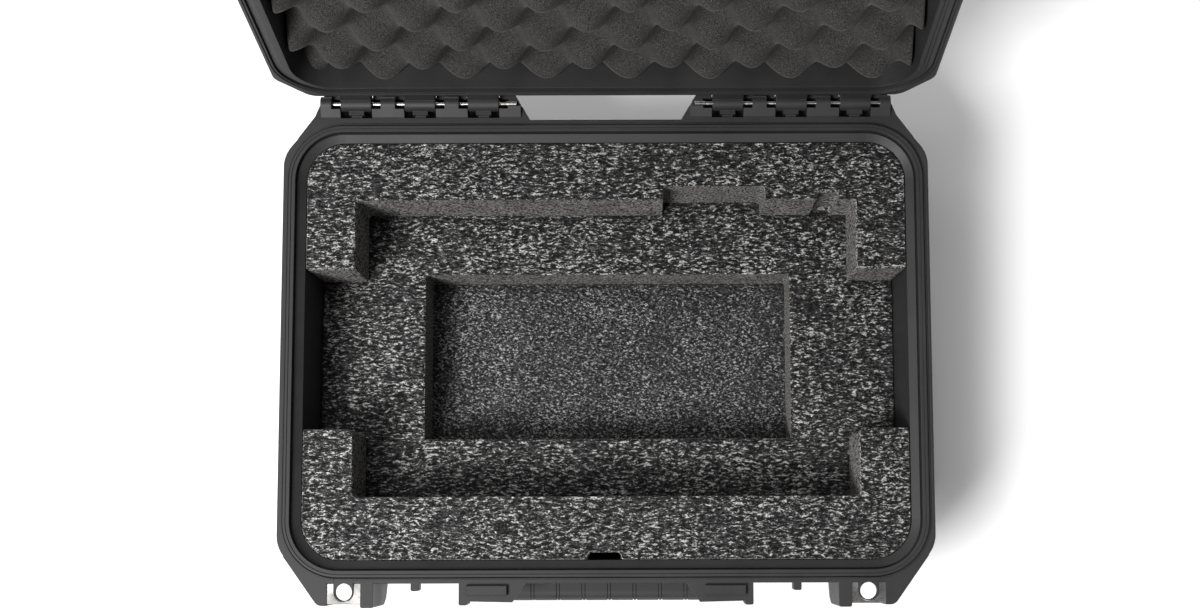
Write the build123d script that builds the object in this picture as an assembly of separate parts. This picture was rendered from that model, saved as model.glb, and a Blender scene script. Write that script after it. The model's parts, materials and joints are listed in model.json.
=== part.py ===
from build123d import *

import os

# Hard equipment case: an injection-moulded tub and lid on two rod hinges, with two trigger
# latches, a folding carry handle, steel padlock plates, a pressure valve and a cut foam set.
# Millimetres, +Z up. The origin is the middle of the face that the feet stand on. +Y is the
# hinge side, -Y the handle side. The lid is drawn closed and then swung open about the hinge.

# Rim: the base's flange top is the plane that everything else is measured from
rim_z = 142.0
flange_half_x = 254.3
flange_half_y = 182.1
flange_corner_x = 231.0
flange_corner_y = 154.2
base_corner_round, lid_corner_round = 25.0, 14.0
flange_thick = 5.0
skirt_thick = 3.0
skirt_depth = 14.0
opening_half_x = 236.9
opening_half_y = 164.7
opening_round = 31.0
rim_round = 48.4
edge_round = 1.2

# Rim profile, as distances in from the flange's edge
bead_from, bead_to, bead_high = 3.0, 4.3, 0.8
tongue_from, tongue_to, tongue_high = 4.8, 10.2, 3.0
seam_from, seam_to, seam_deep, inner_drop = 7.0, 7.5, 0.7, 0.3
bead_ease, tongue_round = 0.35, 0.9
step_to, step_deep, groove_deep = 11.2, 2.0, 1.6
slope_deep, slope_angle = 3.2, 62.0
mate_gap = 0.3

# Walls
wall = 3.5
base_draft = 1.5
lid_draft = 4.0
foot_high = 5.0
floor_top = 8.6
lid_roof_low = 186.5
lid_roof_high = 190.0
lid_ring_high = 195.0
lid_flange_thick = 9.0
channel_from, channel_to, channel_deep = 4.5, 10.5, 6.0
lip_from, lip_to, lip_low = 13.8, 17.2, 1.5

# Hinge: two steel rods, one each side, through knuckles of the lid and ears of the base
hinge_y = 194.7
hinge_open = 102.05
rod_radius, rod_ease = 1.6, 0.3
rod_from, rod_to = 70.5, 221.0
head_radius, head_long = 2.1, 8.5
running_gap = 0.05
barrel_radius = 6.0
knuckle_half = 12.0
knuckle_xs = (96.5, 146.6, 197.0)
knuckle_side_gap = 0.5
hinge_gap_half = 19.5
hinge_back = 203.2
window_front, window_back, window_deep = 190.0, 199.0, 9.0
hinge_block_low = rim_z - 24.0
lug_half, lug_reach, lug_low, lug_high = 6.0, 8.9, 4.5, 1.5
tip_half, tip_reach, tip_top = 4.2, 10.8, 1.0
ramp_front, ramp_step, ramp_back, ramp_top = 184.0, 0.8, 191.7, 5.2
lug_pocket_y = 183.6
lug_pocket_deep = 12.2

hinge_end, ramp_inner, ramp_outer = 222.4, 67.0, 225.0
hinge_plan = (
    (59.9, 176.0),
    (59.9, flange_half_y),
    (72.3, hinge_back),
    (hinge_end, hinge_back),
    (230.0, 185.0),
    (243.2, 167.5),
    (225.0, 160.0),
    (90.0, 160.0),
)
hinge_under_y, hinge_under_z = 188.0, 125.0
knuckle_root_y, knuckle_root_high = 176.0, 9.3

# Padlock ears at the front corners
hole_x, hole_y, hole_radius = 201.9, -188.4, 6.6
plate_thick = 2.4
plate_inset = 1.2
plate_from_x, plate_to_x = 186.9, 216.4
plate_front, plate_back, plate_ease = -197.8, -178.2, 0.4
collar_radius, collar_long = 7.5, 6.0
shackle_room = 30.0
post_from, post_to, post_front, post_back = 179.0, 188.9, -200.6, -164.0
post_high, post_foot, post_heel, post_lean = 52.0, 66.0, -176.0, 5.5
lid_post_high, lid_post_foot = 20.0, 176.0
ear_inner_x, ear_tip_x, ear_front = 214.9, 222.0, -198.9
ear_start = (249.0, -161.0)
ear_root = ((ear_inner_x, -170.0), (225.0, -150.0), (243.0, -150.0))
ear_high, lid_ear_high, ear_round = 30.0, 22.0, 7.0

# Handle and its brackets
pivot_y, pivot_z, pivot_radius = -185.5, 120.5, 2.5
arm_from, arm_to, arm_radius = 84.0, 104.0, 6.0
grip_y, grip_z, grip_deep, grip_high = -186.75, 88.0, 20.5, 22.0
grip_half = 83.0
core_deep, core_high = 12.0, 14.0
ring_pitch, ring_pair, ring_wide, ring_cut = 20.3, 2.5, 0.9, 0.7
ring_middle = 1.6
bracket_post_from, bracket_post_to = 106.7, 113.3
bracket_thick, rib_round = 4.0, 1.5
bracket_plan = (
    (61.5, -178.0),
    (61.5, -flange_half_y),
    (72.2, -196.6),
    (bracket_post_from, -195.8),
    (bracket_post_from, -178.0),
)
bracket_side = ((-164.0, rim_z), (-198.8, rim_z), (-198.8, 122.0), (-186.0, 104.0), (-164.0, 100.0))
cheek_from, cheek_to = 76.0, 81.5
cheek_side = ((-164.0, 140.0), (-193.0, 140.0), (-193.0, 122.0), (-186.0, 110.0), (-164.0, 106.0))
tile_to_x, tile_front, tile_back, tile_high, tile_ease = 107.6, -191.0, -183.5, 3.6, 0.5
handle_pin_from, handle_pin_to = 77.0, 112.0
grip_round = 7.5
arm_side = ((-178.0, 97.0), (-178.0, 80.0), (-181.0, 77.5), (-192.5, 77.5), (-195.5, 80.0), (-195.5, 97.0))

# Latches, drawn closed
catch_back, rib_from, rib_to, rib_front = -177.0, 144.1, 150.3, -187.8
latch_x = 146.2
latch_y, latch_z, latch_pin_radius = -190.3, 162.0, 2.0
latch_open = 95.0
latch_ear_thick, latch_ear_out, latch_ear_radius, latch_ear_low = 5.0, 28.2, 6.5, 148.0
lever_half = 22.6
lever_front, lever_back = -194.5, -189.5
lever_low, lever_barrel, lever_round = 116.0, 6.0, 4.0
lever_rib_in, lever_rib_half, lever_rib_out = 3.0, 1.6, 1.4
lever_rib_low, lever_rib_high = 122.0, 154.0
window_half, window_low, window_top = 15.2, 118.0, 146.0
trigger_half, trigger_y, trigger_z = 14.6, -191.5, 138.0
trigger_front, trigger_back = -196.0, -190.5
trigger_low, trigger_top, trigger_round = 119.5, 143.0, 1.5
finger_inset, finger_out, finger_high = 2.0, 2.2, 4.0
trigger_pin_radius, trigger_pin_half = 1.5, 19.0
hook_half, hook_low, hook_reach, hook_root = 12.0, 121.5, -179.6, 0.5
spring_half, spring_slot_half, spring_slot_high = 3.3, 4.0, 2.9
coil_pitch, coil_half, coil_radius, sleeve_radius, spring_bore = 1.1, 0.45, 2.5, 2.3, 1.6

# Valve in the front wall, below the handle
valve_x, valve_z = -1.2, 66.0
boss_radius, boss_out, boss_in = 12.0, -168.8, -161.6
stem_radius, valve_bore = 6.0, 3.5
valve_cap_radius, valve_cap_thick = 11.0, 4.5
valve_cap_ease, valve_well, valve_tail = 1.0, 1.6, 1.5
slot_from, slot_long, slot_wide, slot_deep = 5.2, 5.0, 1.4, 1.6
o_ring_thick, o_ring_radius = 1.5, 8.6
membrane_in, membrane_thick = 3.2, 0.6
nut_flats, nut_thick = 17.0, 5.0

# Foam: a bottom pad, a layer with the deep pocket and a top layer in two blocks
foam_gap = 0.4
deep_floor = 25.9
shelf_top = 75.5
foam_top = 138.0
pocket_half_x, pocket_back, pocket_front = 150.0, 69.0, -66.6
strip_drop = 1.0
recess_half_x, recess_back, recess_front = 197.1, 118.4, -115.3
arm_back_y, arm_front_y, arm_chamfer, arm_chamfer_deep = 63.2, -62.5, 7.0, 3.0
notch_wide = (45.3, 125.4, 129.0)
notch_small = (167.2, 184.5, 124.6)
notch_well = 4.0
valve_notch = (-13.8, 11.4, -158.7)
nut_room_back, nut_room_low = -148.0, 54.0
lid_foam_half_x, lid_foam_half_y, lid_foam_round = 233.5, 163.6, 26.0
lid_foam_low, lid_foam_high = 144.0, 186.0

# Stiffening webs and bands, feet, and the raised lines on the lid's roof
web_thick, web_wall, web_edge, web_low, web_high = 3.0, 163.0, 180.5, 22.0, 3.0
web_xs, web_ys = (-40, 0, 40), (-120, -72, -24, 24, 72, 120)
band_low, band_high, band_front_high, band_ease = 22.0, 134.0, 96.0, 1.5
band_x, band_front_x, band_half = 150.0, 146.2, 16.0
band_from, band_to = 158.0, 169.2
side_band_ys, side_band_half, side_band_from, side_band_to = (-96, 0, 96), 18.0, 230.8, 241.4
foot_x, foot_y, foot_wide, foot_deep, foot_round, foot_root = 180.0, 122.0, 56.0, 30.0, 8.0, 2.0
middle_wide, middle_deep, middle_round = 130.0, 56.0, 12.0
tub_round, roof_round = 10.0, 11.0
lid_wall_extra, lid_room_extra = 0.4, 0.6
lip_groove, gasket_play = 13.1, 0.4
ring_half_x, ring_half_y, ring_out_round, ring_in_round = 221.0, 152.0, 26.0, 15.0
ring_band, ring_ease = 12.0, 1.5
roof_bead_wide, roof_bead_high, roof_bead_round = 9.0, 1.6, 4.0
long_bead, long_bead_ys = 330.0, (-90, -54, 54, 90)
short_bead, short_bead_x, short_bead_ys = 88.0, 121.0, (-18, 18)

# How far cuts run past the faces they open, and a reach past every face of the case
over, far = 1.0, 300.0

left_right = (("left", -1), ("right", 1))


def block(x0, x1, y0, y1, z0, z1):
    """A box between two corners."""
    return Pos((x0 + x1) / 2, (y0 + y1) / 2, (z0 + z1) / 2) * Box(x1 - x0, y1 - y0, z1 - z0)


def slab(sketch, low, high):
    """A sketch in plan, as a plate between two heights."""
    return Pos(0, 0, low) * extrude(sketch, amount=high - low, dir=(0, 0, 1))


def side_prism(points, x0, x1):
    """A closed (y, z) outline, drawn out along X."""
    outline = Plane.YZ.offset(x0) * Polygon(*points, align=None)
    return extrude(outline, amount=x1 - x0, dir=(1, 0, 0))


def x_rod(x0, x1, y, z, radius):
    """A round bar along X."""
    return Pos((x0 + x1) / 2, y, z) * Rot(0, 90, 0) * Cylinder(radius, x1 - x0)


def y_rod(y0, y1, x, z, radius):
    """A round bar along Y."""
    return Pos(x, (y0 + y1) / 2, z) * Rot(90, 0, 0) * Cylinder(radius, y1 - y0)


def both_sides(part):
    """A part and its mirror image across the middle of the case."""
    return part + mirror(part, Plane.YZ)


def join(parts):
    """Many solids fused into one."""
    first, *rest = parts
    return first.fuse(*rest)


def sided(part, sign):
    """A part drawn on the right, on the side that sign names."""
    if sign > 0:
        return part
    return mirror(part, Plane.YZ)


def rim_plan(inset):
    """A rounded rectangle this far in from the flange's edge."""
    return RectangleRounded(2 * (flange_half_x - inset), 2 * (flange_half_y - inset), rim_round - inset)


def rim_ring(outer, inner, low, high):
    """A band that follows the rim between two insets."""
    return slab(rim_plan(outer) - rim_plan(inner), low, high)


def flange_plan(corner_round):
    """The flange's outline: a rectangle with eased, cut corners."""
    quarter = [(flange_half_x, flange_corner_y), (flange_corner_x, flange_half_y)]
    points = quarter + [(-x, y) for x, y in reversed(quarter)]
    points += [(-x, -y) for x, y in quarter] + [(x, -y) for x, y in reversed(quarter)]
    outline = Polygon(*points, align=None)
    return fillet(outline.vertices(), corner_round)


def flange_plate(low, high, corner_round):
    """The flange as a plate with rounded edges."""
    plate = slab(flange_plan(corner_round), low, high)
    return fillet(plate.faces().filter_by(Axis.Z).edges(), edge_round)


def flange_band(low, high):
    """The skirt round the base flange's edge."""
    outline = flange_plan(base_corner_round)
    return slab(outline - offset(outline, -skirt_thick), low, high)


def tongue():
    """The raised tongue round the rim, with a seam that leaves a lower ridge inside it."""
    top = rim_z + tongue_high
    ring = rim_ring(tongue_from, tongue_to, rim_z - over, top)
    ring = fillet(ring.faces().sort_by(Axis.Z)[-1].edges(), tongue_round)
    ring -= rim_ring(seam_from, seam_to, top - seam_deep, top + over)
    return ring - rim_ring(seam_to, tongue_to, top - inner_drop, top + over)


def bead():
    """The fine bead outside the tongue."""
    ring = rim_ring(bead_from, bead_to, rim_z - over, rim_z + bead_high)
    return chamfer(ring.faces().sort_by(Axis.Z)[-1].edges(), bead_ease)


def bowl(from_z, to_z, grow, draft):
    """A drafted block that fits the opening, from the rim down or up."""
    wide = 2 * (opening_half_x + grow)
    deep = 2 * (opening_half_y + grow)
    direction = (0, 0, 1 if to_z > from_z else -1)
    plane = Plane(origin=(0, 0, from_z), x_dir=(1, 0, 0), z_dir=direction)
    section = plane * RectangleRounded(wide, deep, opening_round + grow)
    return extrude(section, amount=abs(to_z - from_z), taper=draft)


def lid_swing(angle):
    """Turns a part about the hinge; a negative angle opens it."""
    return Pos(0, hinge_y, rim_z) * Rot(angle, 0, 0) * Pos(0, -hinge_y, -rim_z)


def latch_swing(angle):
    """Turns a part about the latch pin; a negative angle opens it."""
    return Pos(0, latch_y, latch_z) * Rot(angle, 0, 0) * Pos(0, -latch_y, -latch_z)


# ---------------------------------------------------------------- hinge


def hinge_block():
    """The base's right hinge block, with its ears but not yet its pockets."""
    body = slab(Polygon(*hinge_plan, align=None), hinge_block_low, rim_z)
    back, low = hinge_back + over, hinge_block_low - over
    return body - side_prism([(back, low), (back, hinge_under_z), (hinge_under_y, low)], 0, far)


def hinge_ears():
    """The raised, rounded ears that hold the right rod."""
    ears = []
    low = rim_z - over
    ramp = [(ramp_front, low), (ramp_front, rim_z + ramp_step)]
    ramp += [(ramp_back, rim_z + ramp_top), (hinge_y, low)]
    pocket_half = knuckle_half + knuckle_side_gap
    slopes = [(ramp_inner, knuckle_xs[0] - pocket_half)]
    for x, next_x in zip(knuckle_xs, knuckle_xs[1:] + (ramp_outer + hinge_gap_half,)):
        ears.append(x_rod(x + hinge_gap_half, next_x - hinge_gap_half, hinge_y, rim_z, barrel_radius))
        slopes.append((x + pocket_half, min(next_x - pocket_half, ramp_outer)))
    windows = [side_window(x) for x in knuckle_xs]
    ears += [side_prism(ramp, start, end).cut(*windows) for start, end in slopes]
    return ears


def side_window(x):
    """The opening round the knuckle at x that shows the rod."""
    return block(
        x - hinge_gap_half,
        x + hinge_gap_half,
        window_front,
        window_back,
        rim_z - window_deep,
        rim_z + barrel_radius + over,
    )


def hinge_cuts():
    """What is cut out of the right hinge block: knuckle pockets, rod windows and the rod's bore."""
    cuts = [rod_bore()]
    half = knuckle_half + knuckle_side_gap
    for x in knuckle_xs:
        low, high = rim_z - lug_pocket_deep, rim_z + over
        cuts.append(block(x - half, x + half, lug_pocket_y, hinge_back + over, low, high))
        cuts.append(side_window(x))
    return cuts


def rod_bore():
    """The right rod's bore, and room for its head beside the first knuckle."""
    bore = x_rod(rod_from, rod_to, hinge_y, rim_z, rod_radius + running_gap)
    head = x_rod(rod_from - head_long, rod_from + head_long + over, hinge_y, rim_z, head_radius + mate_gap)
    return bore + head


def lid_knuckles():
    """The lid's three right knuckles, with the lid closed."""
    low = rim_z + mate_gap
    root = knuckle_root_y
    arm = [(root, low), (hinge_y, low), (hinge_y, rim_z + barrel_radius), (root, rim_z + knuckle_root_high)]
    knuckles = []
    for x in knuckle_xs:
        knuckles.append(x_rod(x - knuckle_half, x + knuckle_half, hinge_y, rim_z, barrel_radius))
        knuckles.append(side_prism(arm, x - knuckle_half, x + knuckle_half))
    return knuckles


def lid_stops():
    """The lugs under the right knuckles that meet the base and stop the open lid."""
    stops = []
    low, high = rim_z - lug_low, rim_z + lug_high
    for x in knuckle_xs:
        lug = block(x - lug_half, x + lug_half, hinge_y - lug_reach, hinge_y, low, high)
        lug += block(x - tip_half, x + tip_half, hinge_y - tip_reach, hinge_y, low, rim_z - tip_top)
        stops.append(lug - x_rod(x - lug_half, x + lug_half, hinge_y, rim_z, barrel_radius - over))
    return stops


def hinge_rod():
    """The right hinge rod, with a thicker head at its inner end."""
    shaft = x_rod(rod_from, rod_to, hinge_y, rim_z, rod_radius)
    head = x_rod(rod_from, rod_from + head_long, hinge_y, rim_z, head_radius)
    return chamfer(shaft.edges(), rod_ease) + chamfer(head.edges(), rod_ease)


# ---------------------------------------------------------------- padlock ears


def guard_post(low, high, foot):
    """The deep rib beside the padlock plate, from the rim's face to its foot on the wall."""
    middle = (high + foot) / 2
    outline = [(post_back, low), (post_front, low), (post_front, high), (post_front + post_lean, middle)]
    outline += [(post_heel, foot), (post_back, foot)]
    post = side_prism(outline, post_from, post_to)
    return fillet(post.edges().filter_by(Axis.Z).sort_by(Axis.Y)[:2], rib_round)


def corner_ear(low, high):
    """The pointed corner that shields the padlock plate's other side."""
    plan = Polygon(ear_start, (ear_tip_x, ear_front), (ear_inner_x, ear_front), *ear_root, align=None)
    tip = plan.vertices().sort_by(Axis.Y)[:2].sort_by(Axis.X)[-1]
    return slab(fillet(tip, ear_round), low, high)


def padlock_arch(radius):
    """An outline round in front of the padlock hole, and straight back to the flange."""
    middle = (hole_y + plate_back) / 2
    legs = Pos(hole_x, middle) * Rectangle(2 * radius, plate_back - hole_y)
    return Pos(hole_x, hole_y) * Circle(radius) + legs


def padlock_plate(low):
    """A U-shaped steel plate that guards the padlock hole's collar."""
    high = low + plate_thick
    plate = block(plate_from_x, plate_to_x, plate_front, plate_back, low, high)
    plate = chamfer(plate.edges().filter_by(Axis.X), plate_ease)
    return plate - slab(padlock_arch(collar_radius + mate_gap), low - over, high + over)


def padlock_collar(low):
    """The plastic collar that lines the padlock hole."""
    plan = padlock_arch(collar_radius) - Pos(hole_x, hole_y) * Circle(hole_radius)
    return slab(plan, low, low + collar_long)


def padlock_cuts(low):
    """Room in the plastic for the plate, for the collar and for a shackle."""
    high = low + plate_thick
    plate = block(plate_from_x, plate_to_x, plate_front, plate_back, low, high)
    near, past = hole_x - collar_radius, hole_x + collar_radius
    way = block(near, past, plate_front, plate_back, low - shackle_room, high + shackle_room)
    return [plate, way]


# ---------------------------------------------------------------- base


def bracket():
    """The right handle bracket: a top plate, an outer post, an inner cheek and a raised tile."""
    cover = slab(Polygon(*bracket_plan, align=None), rim_z - bracket_thick, rim_z)
    post = side_prism(bracket_side, bracket_post_from, bracket_post_to)
    post = fillet(post.edges().filter_by(Axis.Z).sort_by(Axis.Y)[:2], rib_round)
    tile = block(cheek_from, tile_to_x, tile_front, tile_back, rim_z - over, rim_z + tile_high)
    tile = chamfer(tile.faces().sort_by(Axis.Z)[-1].edges(), tile_ease)
    return [cover, post, side_prism(cheek_side, cheek_from, cheek_to), tile]


def catch():
    """The edge that the right latch hooks under, and the rib in the middle of its bay."""
    low = rim_z - skirt_depth
    high = rim_z - edge_round - over
    edge = block(latch_x - lever_half, latch_x + lever_half, -flange_half_y, catch_back, low, high)
    rib = block(rib_from, rib_to, rib_front, catch_back, low, rim_z)
    rib = fillet(rib.edges().filter_by(Axis.Z).sort_by(Axis.Y)[:2], rib_round)
    return [edge, rib]


def gussets():
    """Small webs between the skirt and the wall."""
    low, high, half = rim_z - web_low, rim_z - web_high, web_thick / 2
    web = [(web_wall, low), (web_edge, (low + high) / 2), (web_edge, high), (web_wall, high)]
    shift = flange_half_x - flange_half_y
    back = [side_prism(web, x - half, x + half) for x in web_xs]
    side = [Pos(shift, 0, 0) * Rot(0, 0, -90) * side_prism(web, y - half, y + half) for y in web_ys]
    return back + side + [mirror(part, Plane.YZ) for part in side]


def pilasters():
    """Shallow upright bands that stiffen the tub's walls."""
    back = block(band_x - band_half, band_x + band_half, band_from, band_to, band_low, band_high)
    near, past = band_front_x - band_half, band_front_x + band_half
    front = block(near, past, -band_to, -band_from, band_low, band_front_high)
    bands = [back, front]
    for y in side_band_ys:
        near, past = y - side_band_half, y + side_band_half
        bands.append(block(side_band_from, side_band_to, near, past, band_low, band_high))
    bands = [chamfer(band.edges().filter_by(Axis.Z), band_ease) for band in bands]
    return bands + [mirror(band, Plane.YZ) for band in bands]


def feet():
    """Pads under the tub, at the middle and corners, which nest in the ring on another case's lid."""
    top = foot_high + foot_root
    pad = slab(RectangleRounded(foot_wide, foot_deep, foot_round), 0, top)
    middle = slab(RectangleRounded(middle_wide, middle_deep, middle_round), 0, top)
    return [middle] + [Pos(x, y, 0) * pad for x in (-foot_x, foot_x) for y in (-foot_y, foot_y)]


def base_shell():
    """The tub: walls, floor, flange, rim profile and everything moulded onto them."""
    outer = bowl(rim_z, foot_high, wall, base_draft)
    outer = fillet(outer.faces().sort_by(Axis.Z)[0].edges(), tub_round)
    adds = [flange_plate(rim_z - flange_thick, rim_z, base_corner_round)]
    adds += [flange_band(rim_z - skirt_depth, rim_z - edge_round - over)]
    adds += [tongue(), bead()]
    sides = [hinge_block(), guard_post(rim_z, rim_z - post_high, post_foot)]
    sides += [corner_ear(rim_z - ear_high, rim_z)] + bracket() + catch()
    adds += sides + [mirror(part, Plane.YZ) for part in sides]
    shell = join([outer] + adds + gussets() + pilasters() + feet())

    shell -= bowl(rim_z, floor_top, 0, base_draft)
    shell = shell.fuse(y_rod(boss_out, boss_in, valve_x, valve_z, boss_radius))
    shell -= slab(rim_plan(tongue_to), rim_z - step_deep, rim_z + over)
    shell -= rim_ring(tongue_to, step_to, rim_z - step_deep - groove_deep, rim_z)
    shell -= rim_ring(bead_to, tongue_from, rim_z - bead_high, rim_z)
    shell -= slope_cut()
    cuts = hinge_cuts()
    cuts += padlock_cuts(rim_z - plate_inset - plate_thick)
    pin_end = handle_pin_to + running_gap
    cuts += [x_rod(cheek_from - over, pin_end, pivot_y, pivot_z, pivot_radius + running_gap)]
    cuts += [mirror(part, Plane.YZ) for part in cuts]
    cuts += [y_rod(boss_out - over, boss_in + over, valve_x, valve_z, stem_radius + running_gap)]
    shell = shell.cut(*cuts)
    ears = [ear - rod_bore() for ear in hinge_ears()]
    return shell.fuse(*ears, *[mirror(ear, Plane.YZ) for ear in ears])


def slope_cut():
    """The eased inner edge of the rim, which leads down to the foam."""
    plane = Plane(origin=(0, 0, rim_z - step_deep - slope_deep))
    section = plane * RectangleRounded(2 * opening_half_x, 2 * opening_half_y, opening_round)
    return extrude(section, amount=slope_deep, taper=-slope_angle)


# ---------------------------------------------------------------- lid


def lid_top_details():
    """The stacking ring on the roof and the low beads inside it."""
    outer = RectangleRounded(2 * ring_half_x, 2 * ring_half_y, ring_out_round)
    inner = RectangleRounded(2 * (ring_half_x - ring_band), 2 * (ring_half_y - ring_band), ring_in_round)
    ring = slab(outer - inner, lid_roof_high - over, lid_ring_high)
    ring = chamfer(ring.faces().sort_by(Axis.Z)[-1].edges(), ring_ease)
    low, high = lid_roof_high - over, lid_roof_high + roof_bead_high
    full = slab(RectangleRounded(long_bead, roof_bead_wide, roof_bead_round), low, high)
    short = slab(RectangleRounded(short_bead, roof_bead_wide, roof_bead_round), low, high)
    beads = [Pos(0, y, 0) * full for y in long_bead_ys]
    beads += [Pos(x, y, 0) * short for x in (-short_bead_x, short_bead_x) for y in short_bead_ys]
    return [ring] + beads


def latch_ears():
    """The two lugs on the lid's front that carry the right latch's pin."""
    lugs = []
    radius, root = latch_ear_radius, post_back
    for side in (-1, 1):
        near = latch_x + side * (latch_ear_out - latch_ear_thick)
        x0, x1 = sorted((near, latch_x + side * latch_ear_out))
        lugs.append(x_rod(x0, x1, latch_y, latch_z, radius))
        lugs.append(block(x0, x1, latch_y, root, latch_z - radius, latch_z + radius))
        lugs.append(block(x0, x1, -flange_half_y, root, latch_ear_low, latch_z))
    return lugs


def lid_shell():
    """The lid, closed: roof, walls, flange with the gasket's channel, ears and knuckles."""
    low = rim_z + mate_gap
    outer = bowl(low, lid_roof_high, wall + lid_wall_extra, lid_draft)
    outer = fillet(outer.faces().sort_by(Axis.Z)[-1].edges(), roof_round)
    adds = [flange_plate(low, low + lid_flange_thick, lid_corner_round)]
    adds += [rim_ring(lip_from, lip_to, rim_z - lip_low, low + over)]
    sides = [guard_post(low, low + lid_post_high, lid_post_foot), corner_ear(low, low + lid_ear_high)]
    sides += latch_ears() + lid_knuckles()
    adds += sides + [mirror(part, Plane.YZ) for part in sides] + lid_top_details()
    shell = join([outer] + adds)

    shell -= bowl(low - lip_low - over, lid_roof_low, lid_room_extra, lid_draft)
    shell -= rim_ring(channel_from, channel_to, low - over, low + channel_deep)
    shell -= rim_ring(bead_from - mate_gap, channel_from, low - over, low + bead_high)
    shell -= rim_ring(lip_groove, lip_from, low - over, low + lip_low)
    cuts = padlock_cuts(low + plate_inset)
    cuts += [x_rod(rod_from, rod_to, hinge_y, rim_z, rod_radius + running_gap)]
    reach = latch_ear_out + over
    cuts += [x_rod(latch_x - reach, latch_x + reach, latch_y, latch_z, latch_pin_radius + running_gap)]
    shell = shell.cut(*cuts, *[mirror(part, Plane.YZ) for part in cuts])
    stops = lid_stops()
    stops += [mirror(part, Plane.YZ) for part in stops]
    return (lid_swing(-hinge_open) * shell).fuse(*stops)


def lid_gasket():
    """The seal in the lid's channel."""
    low = rim_z + tongue_high + mate_gap
    high = rim_z + mate_gap + channel_deep
    return rim_ring(channel_from + gasket_play, channel_to - gasket_play, low, high)


# ---------------------------------------------------------------- handle


def grip_section(shrink):
    """The grip's rounded bar, less a skin of this thickness."""
    section = RectangleRounded(grip_deep - 2 * shrink, grip_high - 2 * shrink, grip_round - shrink)
    plane = Plane(origin=(-grip_half, grip_y, grip_z), x_dir=(0, 1, 0), z_dir=(1, 0, 0))
    return extrude(plane * section, amount=2 * grip_half)


def handle_core():
    """The handle's stiff core: a bar and two arms on the pivot pins."""
    bar = Pos(0, grip_y, grip_z) * Box(2 * arm_to - 2 * over, core_deep, core_high)
    outline = [(pivot_y - arm_radius, pivot_z), (pivot_y + arm_radius, pivot_z), *arm_side]
    arm = side_prism(outline, arm_from, arm_to) + x_rod(arm_from, arm_to, pivot_y, pivot_z, arm_radius)
    arm -= x_rod(arm_from, arm_to, pivot_y, pivot_z, pivot_radius + running_gap)
    return bar + both_sides(arm)


def handle_grip():
    """The rubber grip over the bar, with pairs of ring grooves."""
    grip = grip_section(0)
    inner = grip_section(ring_cut)
    rings = []
    for step in range(-3, 4):
        for side in (-1, 1):
            x = ring_middle + step * ring_pitch + side * ring_pair / 2
            rings.append(Pos(x, grip_y, grip_z) * Box(ring_wide, 2 * grip_deep, 2 * grip_high) - inner)
    grip = grip.cut(*rings)
    return grip - Pos(0, grip_y, grip_z) * Box(2 * arm_to, core_deep, core_high)


# ---------------------------------------------------------------- latches, drawn closed


def latch_lever():
    """The right lever: a barrel on the lid's pin and a plate with a window for the trigger."""
    x0, x1 = latch_x - lever_half, latch_x + lever_half
    lever = x_rod(x0, x1, latch_y, latch_z, lever_barrel)
    plate = block(x0, x1, lever_front, lever_back, lever_low, latch_z)
    plate = fillet(plate.edges().filter_by(Axis.Y).sort_by(Axis.Z)[:2], lever_round)
    lever += plate
    window = (latch_x - window_half, latch_x + window_half)
    lever -= block(*window, lever_front - over, lever_back + over, window_low, window_top)
    for side in (-1, 1):
        x = latch_x + side * (lever_half - lever_rib_in)
        near, past = x - lever_rib_half, x + lever_rib_half
        lever += block(near, past, lever_front - lever_rib_out, lever_front, lever_rib_low, lever_rib_high)
    lever -= x_rod(x0, x1, latch_y, latch_z, latch_pin_radius + running_gap)
    reach = trigger_pin_half + mate_gap
    lever -= x_rod(latch_x - reach, latch_x + reach, trigger_y, trigger_z, trigger_pin_radius + running_gap)
    return lever


def trigger():
    """The right trigger: a finger plate in the lever's window, whose hook holds the base's edge."""
    x0, x1 = latch_x - trigger_half, latch_x + trigger_half
    plate = block(x0, x1, trigger_front, trigger_back, trigger_low, trigger_top)
    plate = fillet(plate.edges().filter_by(Axis.X).sort_by(Axis.Y)[:2], trigger_round)
    near, past, root = latch_x - hook_half, latch_x + hook_half, trigger_back - hook_root
    hook = block(near, past, root, hook_reach, hook_low, hook_top())
    near, past, root = x0 + finger_inset, x1 - finger_inset, trigger_front + hook_root
    finger = block(near, past, trigger_front - finger_out, root, trigger_low, trigger_low + finger_high)
    body = plate + hook + finger
    body -= spring_room()
    return body - x_rod(x0, x1, trigger_y, trigger_z, trigger_pin_radius + running_gap)


def hook_top():
    """The hook's upper face, just under the base's skirt."""
    return rim_z - skirt_depth - mate_gap


def spring_room():
    """The slot in the trigger that holds the spring."""
    near, past = latch_x - spring_slot_half, latch_x + spring_slot_half
    low, high = trigger_z - spring_slot_high, trigger_z + spring_slot_high
    return block(near, past, trigger_y - spring_slot_high, trigger_back + over, low, high)


def trigger_spring():
    """The torsion spring's wound body, on the trigger's pin."""
    middles = [latch_x + coil_pitch * turn for turn in range(-3, 4)]
    turns = [x_rod(x - coil_half, x + coil_half, trigger_y, trigger_z, coil_radius) for x in middles]
    near, past = latch_x - spring_half, latch_x + spring_half
    sleeve = x_rod(near, past, trigger_y, trigger_z, sleeve_radius)
    return join([sleeve] + turns) - x_rod(near - over, past + over, trigger_y, trigger_z, spring_bore)


# ---------------------------------------------------------------- valve


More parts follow.
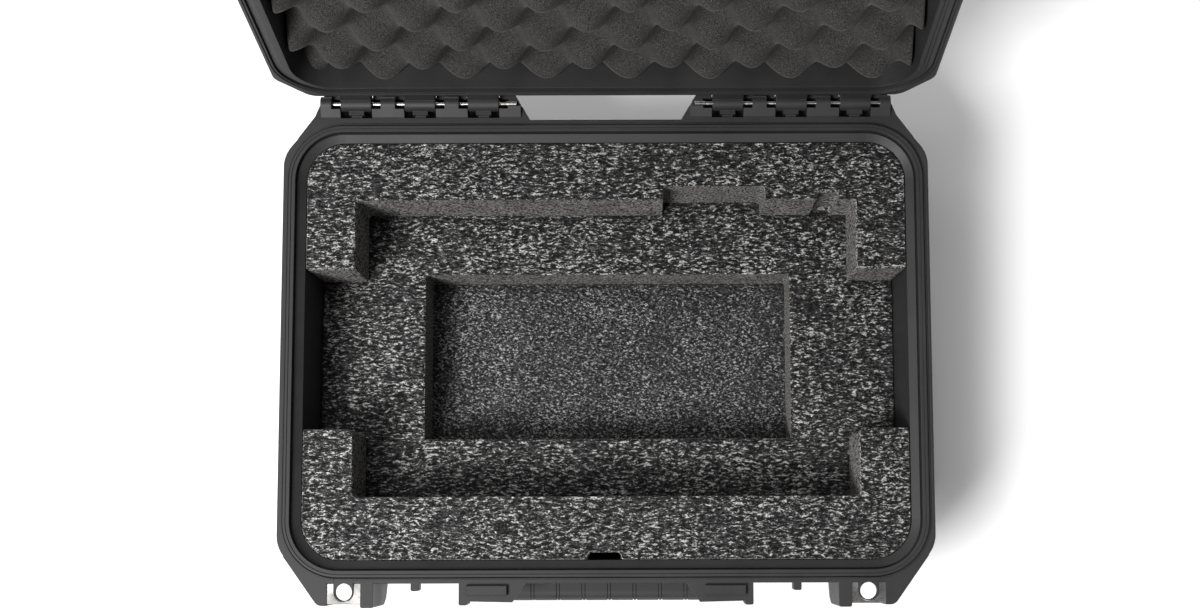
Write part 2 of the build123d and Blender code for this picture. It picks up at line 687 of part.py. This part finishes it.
def valve_parts():
    """The pressure valve's pieces, from outside in."""
    seat = boss_out - o_ring_thick
    front = seat - valve_cap_thick
    body = y_rod(front, seat, valve_x, valve_z, valve_cap_radius)
    tail = boss_in + nut_thick + valve_tail
    body = chamfer(body.faces().sort_by(Axis.Y)[0].edges(), valve_cap_ease)
    body += y_rod(seat, tail, valve_x, valve_z, stem_radius)
    body -= y_rod(front + valve_well, tail + over, valve_x, valve_z, valve_bore)
    slot = Pos(slot_from, 0, 0) * Box(slot_long, slot_deep, slot_wide)
    for step in range(6):
        body -= Pos(valve_x, front, valve_z) * Rot(0, 60 * step, 0) * slot
    seal = y_rod(seat, boss_out, valve_x, valve_z, o_ring_radius)
    seal -= y_rod(seat, boss_out, valve_x, valve_z, stem_radius + running_gap)
    near = front + membrane_in
    membrane = y_rod(near, near + membrane_thick, valve_x, valve_z, valve_bore - running_gap)
    plane = Plane(origin=(valve_x, boss_in, valve_z), x_dir=(1, 0, 0), z_dir=(0, 1, 0))
    nut = extrude(plane * RegularPolygon(nut_flats / 2, 6, major_radius=False), amount=nut_thick)
    nut -= y_rod(boss_in, boss_in + nut_thick, valve_x, valve_z, stem_radius + running_gap)
    return {"valve_body": body, "valve_seal": seal, "valve_membrane": membrane, "valve_nut": nut}


# ---------------------------------------------------------------- foam


def foam_layer(low, high):
    """A foam sheet that fills the drafted tub between two heights."""
    filled = bowl(rim_z, floor_top, -foam_gap, base_draft)
    return filled & block(-far, far, -far, far, low, high)


def foam_shelf():
    """The middle layer: a ledge round three sides of the deep pocket."""
    layer = foam_layer(deep_floor, shelf_top)
    layer -= block(-far, far, -far, pocket_front, 0, far)
    layer -= block(-pocket_half_x, pocket_half_x, pocket_front - over, pocket_back, 0, far)
    low_x, high_x, back = notch_small
    return layer - block(low_x, high_x, recess_back, back, shelf_top - notch_well, far)


def foam_front_strip():
    """The middle layer's front piece, with room for the valve's nut."""
    layer = foam_layer(deep_floor, shelf_top - strip_drop)
    layer -= block(-far, far, pocket_front, far, 0, far)
    return layer - block(valve_notch[0], valve_notch[1], -far, nut_room_back, nut_room_low, far)


def foam_rear_block():
    """The top layer's rear piece, with two arms and two notches."""
    layer = foam_layer(shelf_top, foam_top)
    layer -= block(-far, far, -far, arm_back_y, 0, far)
    layer -= block(-recess_half_x, recess_half_x, 0, recess_back, 0, far)
    for low_x, high_x, back in (notch_wide, notch_small):
        layer -= block(low_x, high_x, recess_back - over, back, 0, far)
    return layer


def foam_front_block():
    """The top layer's front piece, with two arms and the valve's notch."""
    layer = foam_layer(shelf_top, foam_top)
    layer -= block(-far, far, arm_front_y, far, 0, far)
    layer -= block(-recess_half_x, recess_half_x, recess_front, 0, 0, far)
    near = recess_half_x - over
    corner = [(near, arm_front_y + over), (recess_half_x + arm_chamfer, arm_front_y + over)]
    wedge = slab(Polygon(*corner, (near, arm_front_y - arm_chamfer_deep), align=None), 0, far)
    layer -= both_sides(wedge)
    return layer - block(valve_notch[0], valve_notch[1], -far, valve_notch[2], 0, far)


def lid_foam():
    """The lid's foam sheet, as the slab that its lobes fill."""
    sheet = RectangleRounded(2 * lid_foam_half_x, 2 * lid_foam_half_y, lid_foam_round)
    plane = Plane(origin=(0, 0, lid_foam_low))
    return extrude(plane * sheet, amount=lid_foam_high - lid_foam_low, taper=lid_draft)


def all_parts():
    """Every node of the case at rest: lid open, latches open, handle folded down."""
    opened = lid_swing(-hinge_open)
    latch_opened = opened * latch_swing(-latch_open)
    low_plate = rim_z - plate_inset - plate_thick
    high_plate = rim_z + mate_gap + plate_inset
    parts = {"base_shell": base_shell(), "lid_shell": lid_shell(), "lid_gasket": opened * lid_gasket()}
    parts.update(valve_parts())
    parts["handle_core"] = handle_core()
    parts["handle_grip"] = handle_grip()
    parts["foam_bottom_pad"] = foam_layer(floor_top, deep_floor)
    parts["foam_shelf"] = foam_shelf()
    parts["foam_front_strip"] = foam_front_strip()
    parts["foam_rear_block"] = foam_rear_block()
    parts["foam_front_block"] = foam_front_block()
    parts["lid_foam"] = opened * lid_foam()
    lid_face = rim_z + mate_gap
    pin_x0, pin_x1 = latch_x - latch_ear_out, latch_x + latch_ear_out
    for side, sign in left_right:
        parts[f"hinge_rod_{side}"] = sided(hinge_rod(), sign)
        parts[f"padlock_plate_base_{side}"] = sided(padlock_plate(low_plate), sign)
        parts[f"padlock_plate_lid_{side}"] = opened * sided(padlock_plate(high_plate), sign)
        parts[f"padlock_collar_base_{side}"] = sided(padlock_collar(rim_z - collar_long), sign)
        parts[f"padlock_collar_lid_{side}"] = opened * sided(padlock_collar(lid_face), sign)
        pin = x_rod(handle_pin_from, handle_pin_to, pivot_y, pivot_z, pivot_radius)
        parts[f"handle_pin_{side}"] = sided(pin, sign)
        pin = x_rod(pin_x0, pin_x1, latch_y, latch_z, latch_pin_radius)
        parts[f"latch_pin_{side}"] = opened * sided(pin, sign)
        parts[f"latch_lever_{side}"] = latch_opened * sided(latch_lever(), sign)
        parts[f"latch_trigger_{side}"] = latch_opened * sided(trigger(), sign)
        reach = trigger_pin_half
        pin = x_rod(latch_x - reach, latch_x + reach, trigger_y, trigger_z, trigger_pin_radius)
        parts[f"trigger_pin_{side}"] = latch_opened * sided(pin, sign)
        parts[f"trigger_spring_{side}"] = latch_opened * sided(trigger_spring(), sign)
    return parts


os.makedirs("parts", exist_ok=True)
for name, part in all_parts().items():
    export_step(part, f"parts/{name}.step")
    print(name, round(part.volume), part.bounding_box().min, part.bounding_box().max)
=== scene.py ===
import json
import math

import bmesh
import bpy
import numpy as np
from mathutils import Matrix, Vector, noise


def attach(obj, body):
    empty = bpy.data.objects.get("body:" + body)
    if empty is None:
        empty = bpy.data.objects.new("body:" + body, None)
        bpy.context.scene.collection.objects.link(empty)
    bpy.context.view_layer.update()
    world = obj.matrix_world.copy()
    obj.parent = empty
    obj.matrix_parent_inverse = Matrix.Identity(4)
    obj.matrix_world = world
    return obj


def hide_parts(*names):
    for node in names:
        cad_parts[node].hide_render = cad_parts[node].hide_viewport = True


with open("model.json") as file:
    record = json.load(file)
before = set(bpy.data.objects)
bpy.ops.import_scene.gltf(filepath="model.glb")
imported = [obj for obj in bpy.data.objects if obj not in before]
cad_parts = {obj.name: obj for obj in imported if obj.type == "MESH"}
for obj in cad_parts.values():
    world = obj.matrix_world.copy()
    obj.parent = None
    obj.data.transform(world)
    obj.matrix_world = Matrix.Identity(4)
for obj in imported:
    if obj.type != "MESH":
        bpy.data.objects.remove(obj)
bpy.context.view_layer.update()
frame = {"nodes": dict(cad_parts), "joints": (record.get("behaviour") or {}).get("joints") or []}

# The looks of a hard equipment case. Metres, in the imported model's frame. The foam is built here,
# and the moulded plastic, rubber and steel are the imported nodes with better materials.

MM = 0.001
joints = {joint["name"]: joint for joint in frame["joints"]}

# Camera, above the open case and looking down at it
camera_place = Vector((0.02788, -0.14783, 1.36621))
camera_tilt = math.radians(5.6563)
camera_roll = math.radians(0.0182)
camera_turn = math.radians(-0.1733)
camera_lens, camera_sensor = 47.42, 36.0
camera_shift = (-0.03475, 0.0635)

# Foam meshes: how finely they are cut up, and how far their skins and cut sides wander
voxel_fine = 1.5 * MM
voxel_coarse = 2.2 * MM
weld_gap = 0.01 * MM
flat_angle = math.radians(1)
crisp_angle = math.radians(32)
skin_wave, skin_wave_across, skin_wave_along = 0.35 * MM, 7 * MM, 16 * MM
cut_wave, cut_wave_size, cut_wave_seed = 0.10 * MM, 3 * MM, 5
skin_from, skin_blend = 0.55, 0.3

# How near another face the foam's skin is darkened as painted shade
shade_reach = 14 * MM

# Lid foam: lobes in staggered rows, measured with the lid closed
lobe_pitch = 62.5 * MM
row_pitch = 27.0 * MM
lobe_start = -44.0 * MM
lobe_shift = 5.0 * MM
lobe_depth = 25.0 * MM
lobe_cell = 2.0 * MM
lobe_uneven, uneven_scale = 0.10, 14
drift_x, drift_y, drift_scale = 3 * MM, 2 * MM, 9
lobe_clear = 1.0 * MM

# Base colours
shell_black = (0.018, 0.018, 0.0183)
latch_black = (0.014, 0.014, 0.0143)
grip_black = (0.016, 0.016, 0.016)
seal_black = (0.014, 0.014, 0.014)
plate_steel = (0.34, 0.332, 0.32)
rod_steel = (0.72, 0.69, 0.66)
membrane_low, membrane_high = (0.55, 0.55, 0.52), (0.82, 0.82, 0.79)
# Foam skin: a dark ground colour, and a lighter colour painted on the wrinkles' crests as glints
top_low, top_painted_glint = (0.012, 0.012, 0.0117), (0.37, 0.365, 0.355)
deep_low, deep_painted_glint = (0.016, 0.0165, 0.0165), (0.24, 0.245, 0.24)
cut_low, cut_high, cut_tide = (0.007, 0.0068, 0.0065), (0.28, 0.273, 0.262), (0.06, 0.058, 0.055)
lobe_low, lobe_high = (0.008, 0.0075, 0.007), (0.056, 0.0525, 0.050)
lobe_tide, lobe_spark = (0.022, 0.021, 0.020), (0.20, 0.20, 0.19)
floor_low, floor_high = (0.86, 0.86, 0.86), (0.89, 0.89, 0.89)

# Soft lights: name, place, size and power, each aimed at the middle of the case
middle = (0.0, 0.0, 0.12)
softboxes = (
    ("key", (-1.15, -1.05, 2.2), (0.9, 0.9), 100),
    ("overhead", (-0.70, 0.90, 2.7), (1.6, 1.2), 22),
    ("back", (0.4, 2.3, 1.9), (2.2, 0.8), 14),
)
sky_colour, sky_strength = (1.0, 1.0, 1.0, 1.0), 0.25
floor_reach = 9.0


# ---------------------------------------------------------------- shader helpers


class Shader:
    """A new material's node tree, with its Principled shader in hand."""

    def __init__(self, name, **constants):
        self.material = bpy.data.materials.new(name)
        self.material.use_nodes = True
        self.tree = self.material.node_tree
        self.surface = next(n for n in self.tree.nodes if n.type == "BSDF_PRINCIPLED")
        for socket, value in constants.items():
            self.surface.inputs[socket.replace("_", " ")].default_value = value

    def node(self, kind, inputs=None, **settings):
        """A node of this kind. An input is a value, or the socket that feeds it."""
        made = self.tree.nodes.new("ShaderNode" + kind)
        for key, value in settings.items():
            setattr(made, key, value)
        for key, value in (inputs or {}).items():
            if isinstance(value, bpy.types.NodeSocket):
                self.tree.links.new(value, made.inputs[key])
            else:
                made.inputs[key].default_value = value
        return made

    def wire(self, socket, name):
        """Feeds one of the Principled shader's inputs."""
        self.tree.links.new(socket, self.surface.inputs[name])

    def place(self, scale=(1, 1, 1), turn=(0, 0, 0), offset=None):
        """Object coordinates, scaled, turned, and pushed about by another vector."""
        source = self.node("TexCoord").outputs["Object"]
        if offset is not None:
            source = self.node("VectorMath", {0: source, 1: offset}, operation="ADD").outputs["Vector"]
        inputs = {"Vector": source, "Scale": scale, "Rotation": turn}
        return self.node("Mapping", inputs).outputs["Vector"]

    def noise(self, vector, scale=1.0, detail=2.0, rough=0.5, twist=0.0):
        """Noise between 0 and 1."""
        inputs = {"Vector": vector, "Scale": scale, "Detail": detail}
        inputs.update({"Roughness": rough, "Distortion": twist})
        return self.node("TexNoise", inputs).outputs["Fac"]

    def wander(self, scale, reach):
        """A slow random vector of up to this reach in metres."""
        inputs = {"Vector": self.place(), "Scale": scale, "Detail": 1.0}
        colour = self.node("TexNoise", inputs).outputs["Color"]
        centred = self.node("VectorMath", {0: colour, 1: (0.5, 0.5, 0.5)}, operation="SUBTRACT")
        inputs = {0: centred.outputs["Vector"], "Scale": 2 * reach}
        return self.node("VectorMath", inputs, operation="SCALE").outputs["Vector"]

    def span(self, value, low, high, to_low=0.0, to_high=1.0):
        """A value's stretch from low to high, spread smoothly from to_low to to_high."""
        inputs = {"Value": value, "From Min": low, "From Max": high, "To Min": to_low, "To Max": to_high}
        return self.node("MapRange", inputs, interpolation_type="SMOOTHSTEP").outputs["Result"]

    def math(self, operation, a, b=0.0):
        """One operation on two values."""
        return self.node("Math", {0: a, 1: b}, operation=operation).outputs["Value"]

    def mix(self, share, a, b):
        """A colour between two."""
        made = self.node("Mix", {"Factor": share}, data_type="RGBA")
        for index, value in ((6, a), (7, b)):
            if isinstance(value, bpy.types.NodeSocket):
                self.tree.links.new(value, made.inputs[index])
            else:
                made.inputs[index].default_value = (*value, 1.0)
        return made.outputs[2]

    def grey(self, share, a, b):
        """A number between two."""
        return self.node("Mix", {"Factor": share, "A": a, "B": b}, data_type="FLOAT").outputs["Result"]

    def bump(self, height, distance, strength=1.0, under=None):
        """A bumped normal: full height is this distance in metres, on top of another normal."""
        inputs = {"Height": height, "Distance": distance, "Strength": strength}
        if under is not None:
            inputs["Normal"] = under
        return self.node("Bump", inputs).outputs["Normal"]

    def worn_edges(self, radius):
        """Near 1 along sharp edges, and the eased normal that finds them."""
        eased = self.node("Bevel", {"Radius": radius}, samples=4).outputs["Normal"]
        true = self.node("NewGeometry").outputs["True Normal"]
        same = self.node("VectorMath", {0: eased, 1: true}, operation="DOT_PRODUCT").outputs["Value"]
        return self.span(same, 0.995, 0.80), eased


# ---------------------------------------------------------------- materials


def moulded_plastic(name, ground, rough, grain):
    """Black moulded plastic with a fine eroded texture, eased edges and light rubbing on them."""
    s = Shader(name, Specular_IOR_Level=0.3)
    edge, eased = s.worn_edges(0.5 * MM)
    fine = s.noise(s.place(), 1 / (0.45 * MM), 3.0, 0.6)
    cloud = s.noise(s.place(), 1 / (38 * MM), 4.0, 0.6)
    scuff = s.noise(s.place((1, 1, 1), (0.3, 0.2, 0.7)), 1 / (3.2 * MM), 5.0, 0.7, 1.5)
    scuffs = s.math("MULTIPLY", s.span(scuff, 0.60, 0.74), s.span(cloud, 0.45, 0.65))
    tone = s.mix(s.span(cloud, 0.3, 0.7), [0.86 * c for c in ground], [1.12 * c for c in ground])
    tone = s.mix(s.math("MULTIPLY", s.span(fine, 0.35, 0.7), 0.22), tone, [2.0 * c for c in ground])
    tone = s.mix(s.math("MULTIPLY", scuffs, 0.35), tone, [2.2 * c for c in ground])
    tone = s.mix(s.math("MULTIPLY", edge, 0.35), tone, [3.4 * c for c in ground])
    s.wire(tone, "Base Color")
    dull = s.span(cloud, 0.3, 0.7, rough - 0.05, rough + 0.05)
    dull = s.math("SUBTRACT", dull, s.math("MULTIPLY", edge, 0.10))
    s.wire(s.math("ADD", dull, s.math("MULTIPLY", scuffs, 0.08)), "Roughness")
    s.wire(s.bump(fine, grain, 0.8, eased), "Normal")
    return s.material


def soft_rubber(name, ground, rough):
    """Matte rubber with a dusty bloom."""
    s = Shader(name, Specular_IOR_Level=0.35, Sheen_Weight=0.08, Sheen_Roughness=0.6)
    edge, eased = s.worn_edges(0.4 * MM)
    fine = s.noise(s.place(), 1 / (0.3 * MM), 2.0, 0.6)
    cloud = s.noise(s.place(), 1 / (22 * MM), 4.0, 0.65)
    tone = s.mix(s.span(cloud, 0.35, 0.7), ground, [1.5 * c for c in ground])
    tone = s.mix(s.math("MULTIPLY", edge, 0.25), tone, [2.4 * c for c in ground])
    s.wire(tone, "Base Color")
    s.wire(s.span(cloud, 0.3, 0.7, rough - 0.07, rough + 0.05), "Roughness")
    s.wire(s.bump(fine, 0.05 * MM, 0.7, eased), "Normal")
    return s.material


def brushed_steel(name, along, bright):
    """Stainless steel, brushed along one direction, with faint handling marks."""
    s = Shader(name, Metallic=1.0, Anisotropic=0.35)
    lines = s.noise(s.place(along), 1 / (0.35 * MM), 3.0, 0.7)
    cloud = s.noise(s.place(), 1 / (6 * MM), 4.0, 0.6)
    smear = s.span(s.noise(s.place(), 1 / (2.4 * MM), 3.0, 0.7, 1.0), 0.55, 0.75)
    dark = [0.72 * c for c in bright]
    tone = s.mix(s.span(lines, 0.3, 0.7), dark, bright)
    tone = s.mix(s.math("MULTIPLY", s.span(cloud, 0.45, 0.75), 0.4), tone, dark)
    s.wire(tone, "Base Color")
    rough = s.span(cloud, 0.3, 0.7, 0.24, 0.38)
    s.wire(s.math("ADD", rough, s.math("MULTIPLY", smear, 0.12)), "Roughness")
    edge_normal = s.node("Bevel", {"Radius": 0.3 * MM}, samples=4).outputs["Normal"]
    s.wire(s.bump(lines, 0.02 * MM, 0.6, edge_normal), "Normal")
    return s.material


def woven_membrane(name):
    """The valve's pale breathable disc."""
    s = Shader(name, Specular_IOR_Level=0.3)
    fine = s.noise(s.place(), 1 / (0.2 * MM), 2.0, 0.6)
    s.wire(s.mix(fine, membrane_low, membrane_high), "Base Color")
    s.wire(s.span(fine, 0.3, 0.7, 0.75, 0.95), "Roughness")
    s.wire(s.bump(fine, 0.04 * MM, 0.6), "Normal")
    return s.material


def foam_skin(name, long, wide, turn, low, high, height):
    """Closed-cell foam: a glossy skin with wrinkles of this length and width, painted glints on their
    crests, painted shade in their dents and near other faces, and fine-grained cut sides.
    """
    s = Shader(name)
    drift = s.wander(1 / (15 * MM), 2.6 * MM)
    ridges = s.noise(s.place((wide / long, 1, 1), (0, 0, turn), drift), 0.62 / wide, 2.5, 0.58, 0.4)
    crumbs = s.noise(s.place((0.60, 1, 1), (0, 0, turn)), 1.15 / wide, 2.0, 0.6, 0.3)
    patches = s.noise(s.place(), 1 / (34 * MM), 3.0, 0.6)
    relief = s.math("ADD", s.math("MULTIPLY", ridges, 0.62), s.math("MULTIPLY", crumbs, 0.38))
    raised = s.math("ADD", relief, s.span(patches, 0.3, 0.7, -0.015, 0.02))
    # Raised crests of the relief get a lighter colour: painted glints, brightest at their cores. The crests
    # are also glossier.
    glint_crest = s.span(raised, 0.525, 0.60)
    core = s.span(raised, 0.575, 0.63)
    # Dents in the relief: their colour is darkened as painted shade in the creases, and they reflect less.
    dent = s.span(relief, 0.52, 0.42)
    skin = s.mix(glint_crest, low, [0.45 * c for c in high])
    skin = s.mix(core, skin, high)
    skin = s.mix(dent, skin, [0.35 * c for c in low])
    # Skin near other faces, found by occlusion, gets a darker colour: painted shade in corners, notches and
    # under walls.
    near = s.node("AmbientOcclusion", {"Distance": shade_reach}, samples=6).outputs["AO"]
    skin = s.mix(s.span(near, 0.80, 0.35), skin, [0.5 * c for c in low])

    grain = s.noise(s.place(), 1 / (1.9 * MM), 1.5, 0.8)
    tide = s.noise(s.place(), 1 / (26 * MM), 3.0, 0.6)
    cut = s.mix(s.span(grain, 0.42, 0.58), cut_low, cut_high)
    cut = s.mix(s.math("MULTIPLY", s.span(tide, 0.35, 0.7), 0.25), cut, cut_tide)

    upright = s.node("SeparateXYZ", {0: s.node("NewGeometry").outputs["True Normal"]}).outputs["Z"]
    is_skin = s.span(upright, 0.80, 0.92)
    s.wire(s.mix(is_skin, cut, skin), "Base Color")
    s.wire(s.grey(is_skin, 0.92, s.grey(glint_crest, 0.55, 0.30)), "Roughness")
    s.wire(s.grey(is_skin, 0.15, s.grey(dent, s.grey(glint_crest, 0.35, 0.9), 0.08)), "Specular IOR Level")
    both = s.node("Mix", {"Factor": is_skin}, data_type="VECTOR")
    s.tree.links.new(s.bump(grain, 0.5 * MM, 0.8), both.inputs[4])
    s.tree.links.new(s.bump(relief, height, 1.0), both.inputs[5])
    s.wire(both.outputs[1], "Normal")
    return s.material


def open_foam(name):
    """Open-cell convoluted foam: warm dark grey, speckled, with a soft bloom on its lobes."""
    s = Shader(name, Specular_IOR_Level=0.2, Sheen_Weight=0.08, Sheen_Roughness=0.5)
    cells = s.noise(s.place(), 1 / (0.8 * MM), 2.0, 0.7)
    pores = s.noise(s.place(), 1 / (1.7 * MM), 2.0, 0.6, 0.4)
    tide = s.noise(s.place(), 1 / (30 * MM), 3.0, 0.6)
    tone = s.mix(s.span(cells, 0.38, 0.64), lobe_low, lobe_high)
    tone = s.mix(s.math("MULTIPLY", s.span(tide, 0.3, 0.7), 0.30), tone, lobe_tide)
    sparks = s.span(cells, 0.68, 0.74)
    s.wire(s.mix(s.math("MULTIPLY", sparks, 0.5), tone, lobe_spark), "Base Color")
    s.wire(s.span(pores, 0.3, 0.7, 0.85, 1.0), "Roughness")
    rough = s.math("ADD", s.math("MULTIPLY", cells, 0.6), s.math("MULTIPLY", pores, 0.4))
    s.wire(s.bump(rough, 0.5 * MM, 0.8), "Normal")
    return s.material


def floor_paint():
    """The plain pale floor."""
    s = Shader("floor_paint", Specular_IOR_Level=0.2)
    cloud = s.noise(s.place(), 1.5, 3.0, 0.5)
    s.wire(s.mix(cloud, floor_low, floor_high), "Base Color")
    s.wire(s.span(cloud, 0.3, 0.7, 0.75, 0.85), "Roughness")
    return s.material


# ---------------------------------------------------------------- mesh helpers


def new_object(name, mesh, material):
    """An object in the scene, with one material."""
    made = bpy.data.objects.new(name, mesh)
    bpy.context.scene.collection.objects.link(made)
    mesh.materials.clear()
    mesh.materials.append(material)
    return made


def baked(obj):
    """The object's mesh with its modifiers applied."""
    view = bpy.context.evaluated_depsgraph_get()
    mesh = bpy.data.meshes.new_from_object(obj.evaluated_get(view))
    obj.modifiers.clear()
    obj.data = mesh
    return mesh


def coordinates(mesh):
    """A mesh's vertices as an array."""
    flat = np.zeros(len(mesh.vertices) * 3)
    mesh.vertices.foreach_get("co", flat)
    return flat.reshape(-1, 3)


def vertex_normals(mesh):
    """A mesh's vertex normals as an array."""
    flat = np.zeros(len(mesh.vertices) * 3)
    mesh.vertex_normals.foreach_get("vector", flat)
    return flat.reshape(-1, 3)


def smooth_shaded(mesh):
    """Shades every face of a mesh smoothly."""
    mesh.polygons.foreach_set("use_smooth", [True] * len(mesh.polygons))


# ---------------------------------------------------------------- cut foam


def ripple(points, across, along, seed):
    """Slow noise between -1 and 1 at each point, longer along X than Y."""
    values = [noise.noise(Vector((x / along + seed, y / across, z / across))) for x, y, z in points]
    return np.array(values)


def cut_foam(name, node, material, voxel, seed):
    """One foam piece: its cut outline with soft edges, a wavy skin on top and grainy sides."""
    source = frame["nodes"][node].data.copy()
    shape = bmesh.new()
    shape.from_mesh(source)
    bmesh.ops.remove_doubles(shape, verts=shape.verts, dist=weld_gap)
    bmesh.ops.dissolve_limit(shape, angle_limit=flat_angle, verts=shape.verts, edges=shape.edges)
    shape.to_mesh(source)
    shape.free()
    piece = new_object(name, source, material)
    remesh = piece.modifiers.new("even", "REMESH")
    remesh.mode = "VOXEL"
    remesh.voxel_size = voxel
    mesh = baked(piece)

    points = coordinates(mesh)
    normals = vertex_normals(mesh)
    skin = np.clip((np.abs(normals[:, 2]) - skin_from) / skin_blend, 0, 1)
    wave = ripple(points, skin_wave_across, skin_wave_along, seed)
    nick = ripple(points, cut_wave_size, cut_wave_size, seed + cut_wave_seed)
    points += normals * (skin * skin_wave * wave + (1 - skin) * cut_wave * nick)[:, None]
    mesh.vertices.foreach_set("co", points.ravel())
    smooth_shaded(mesh)
    mesh.set_sharp_from_angle(angle=crisp_angle)
    mesh.update()
    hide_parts(node)
    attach(piece, "base")
    return piece


# ---------------------------------------------------------------- lid foam


def opening_turn():
    """The matrix that opens the closed lid to its place at rest."""
    hinge = joints["lid_hinge"]
    pivot = Matrix.Translation(Vector(hinge["pos_m"]))
    angle = math.radians(hinge["range_deg"][1])
    return pivot @ Matrix.Rotation(-angle, 4, "X") @ pivot.inverted()


def plan_noise(x, y, scale, layer):
    """Slow noise between -1 and 1 at each place in plan, from one layer of the noise."""
    return np.array([noise.noise(Vector((a * scale, b * scale, layer))) for a, b in zip(x, y)])


def sheet_faces(across, along):
    """The faces of a closed sheet: a front grid, a back grid after it, and the strip round their border."""
    wide = across + 1
    count = wide * (along + 1)
    faces = []
    for j in range(along):
        for i in range(across):
            a = j * wide + i
            faces.append((a + wide, a + wide + 1, a + 1, a))
            faces.append((count + a, count + a + 1, count + a + wide + 1, count + a + wide))
    border = list(range(wide))
    border += [j * wide + across for j in range(1, along + 1)]
    border += [along * wide + i for i in reversed(range(across))]
    border += [j * wide for j in reversed(range(1, along))]
    for a, b in zip(border, border[1:] + border[:1]):
        faces.append((a, b, count + b, count + a))
    return faces


def lid_foam():
    """The lid's convoluted foam: a sheet whose face is staggered rows of rounded lobes."""
    opened = opening_turn()
    corners = [opened.inverted() @ v.co for v in frame["nodes"]["lid_foam"].data.vertices]
    xs, ys, zs = (sorted(c[i] for c in corners) for i in range(3))
    half_x, low_y, high_y, face_z, back_z = xs[-1], ys[0], ys[-1], zs[0], zs[-1]
    across = round(2 * half_x / lobe_cell)
    along = round((high_y - low_y) / lobe_cell)
    grid = np.meshgrid(np.linspace(-half_x, half_x, across + 1), np.linspace(low_y, high_y, along + 1))
    x, y = (part.ravel() for part in grid)
    turn_x = 2 * math.pi * (x - lobe_start + drift_x * plan_noise(x, y, drift_scale, 1.7)) / lobe_pitch
    turn_y = math.pi * (high_y + lobe_shift - y + drift_y * plan_noise(x, y, drift_scale, 8.3)) / row_pitch
    wave = np.cos(turn_x) * np.cos(turn_y)
    depth = lobe_depth * (0.5 - 0.5 * wave) * (1 + lobe_uneven * plan_noise(x, y, uneven_scale, 4.1))
    face = np.stack([x, y, face_z + depth + lobe_clear], axis=1)
    back = np.stack([x, y, np.full(x.size, back_z)], axis=1)
    mesh = bpy.data.meshes.new("convoluted_sheet")
    mesh.from_pydata(np.vstack([face, back]).tolist(), [], sheet_faces(across, along))
    mesh.transform(opened)
    mesh.update()
    piece = new_object("convoluted_sheet", mesh, open_foam("convoluted_foam_look"))
    smooth_shaded(mesh)
    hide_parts("lid_foam")
    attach(piece, "lid")
    return piece


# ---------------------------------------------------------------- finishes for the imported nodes


def dress(material, *starts):
    """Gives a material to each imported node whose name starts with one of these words."""
    for name, node in frame["nodes"].items():
        if name.startswith(starts):
            node.data.materials.clear()
            node.data.materials.append(material)


def dress_nodes():
    """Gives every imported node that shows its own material."""
    shell = moulded_plastic("shell_plastic_look", shell_black, 0.52, 0.05 * MM)
    dress(shell, "base_shell", "lid_shell", "padlock_collar")
    latch = moulded_plastic("latch_plastic_look", latch_black, 0.42, 0.03 * MM)
    dress(latch, "latch_lever", "latch_trigger", "handle_core", "valve_body", "valve_nut")
    dress(soft_rubber("grip_rubber_look", grip_black, 0.62), "handle_grip")
    dress(soft_rubber("seal_rubber_look", seal_black, 0.55), "lid_gasket", "valve_seal")
    dress(woven_membrane("membrane_look"), "valve_membrane")
    along_x = (0.06, 1, 1)
    dress(brushed_steel("plate_steel_look", along_x, plate_steel), "padlock_plate")
    rods = brushed_steel("rod_steel_look", along_x, rod_steel)
    dress(rods, "hinge_rod", "handle_pin", "latch_pin", "trigger_pin", "trigger_spring")


# ---------------------------------------------------------------- stage


def softbox(name, place, size, power):
    """A large soft light, aimed at the case."""
    data = bpy.data.lights.new(name, "AREA")
    data.shape = "RECTANGLE"
    data.size, data.size_y = size
    data.energy = power
    lamp = bpy.data.objects.new(name, data)
    lamp.location = place
    lamp.rotation_mode = "QUATERNION"
    lamp.rotation_quaternion = (Vector(middle) - Vector(place)).to_track_quat("-Z", "Y")
    bpy.context.scene.collection.objects.link(lamp)


def stage():
    """Floor, soft light and pale surroundings."""
    floor_mesh = bpy.data.meshes.new("floor")
    corners = [(x * floor_reach, y * floor_reach, 0) for x, y in ((-1, -1), (1, -1), (1, 1), (-1, 1))]
    floor_mesh.from_pydata(corners, [], [(0, 1, 2, 3)])
    floor = new_object("floor", floor_mesh, floor_paint())
    for lamp in softboxes:
        softbox(*lamp)
    world = bpy.data.worlds.new("studio")
    world.use_nodes = True
    sky = world.node_tree.nodes["Background"]
    sky.inputs["Color"].default_value = sky_colour
    sky.inputs["Strength"].default_value = sky_strength
    bpy.context.scene.world = world
    bpy.context.scene.view_settings.view_transform = "Standard"


def camera():
    """The camera, above the open case."""
    data = bpy.data.cameras.new("camera")
    data.lens = camera_lens
    data.sensor_width = camera_sensor
    data.shift_x, data.shift_y = camera_shift
    made = bpy.data.objects.new("camera", data)
    made.location = camera_place
    made.rotation_euler = (camera_tilt, camera_roll, camera_turn)
    bpy.context.scene.collection.objects.link(made)
    bpy.context.scene.camera = made


camera()
stage()
dress_nodes()
top_skin = foam_skin("foam_top_look", 3.0 * MM, 1.15 * MM, 0.0, top_low, top_painted_glint, 1.5 * MM)
deep_skin = foam_skin("foam_deep_look", 1.7 * MM, 1.0 * MM, 0.9, deep_low, deep_painted_glint, 1.0 * MM)
cut_foam("cut_rear_block", "foam_rear_block", top_skin, voxel_fine, 1.0)
cut_foam("cut_front_block", "foam_front_block", top_skin, voxel_fine, 2.0)
cut_foam("cut_shelf", "foam_shelf", top_skin, voxel_fine, 3.0)
cut_foam("cut_front_strip", "foam_front_strip", top_skin, voxel_fine, 4.0)
cut_foam("deep_pad", "foam_bottom_pad", deep_skin, voxel_coarse, 5.0)
lid_foam()
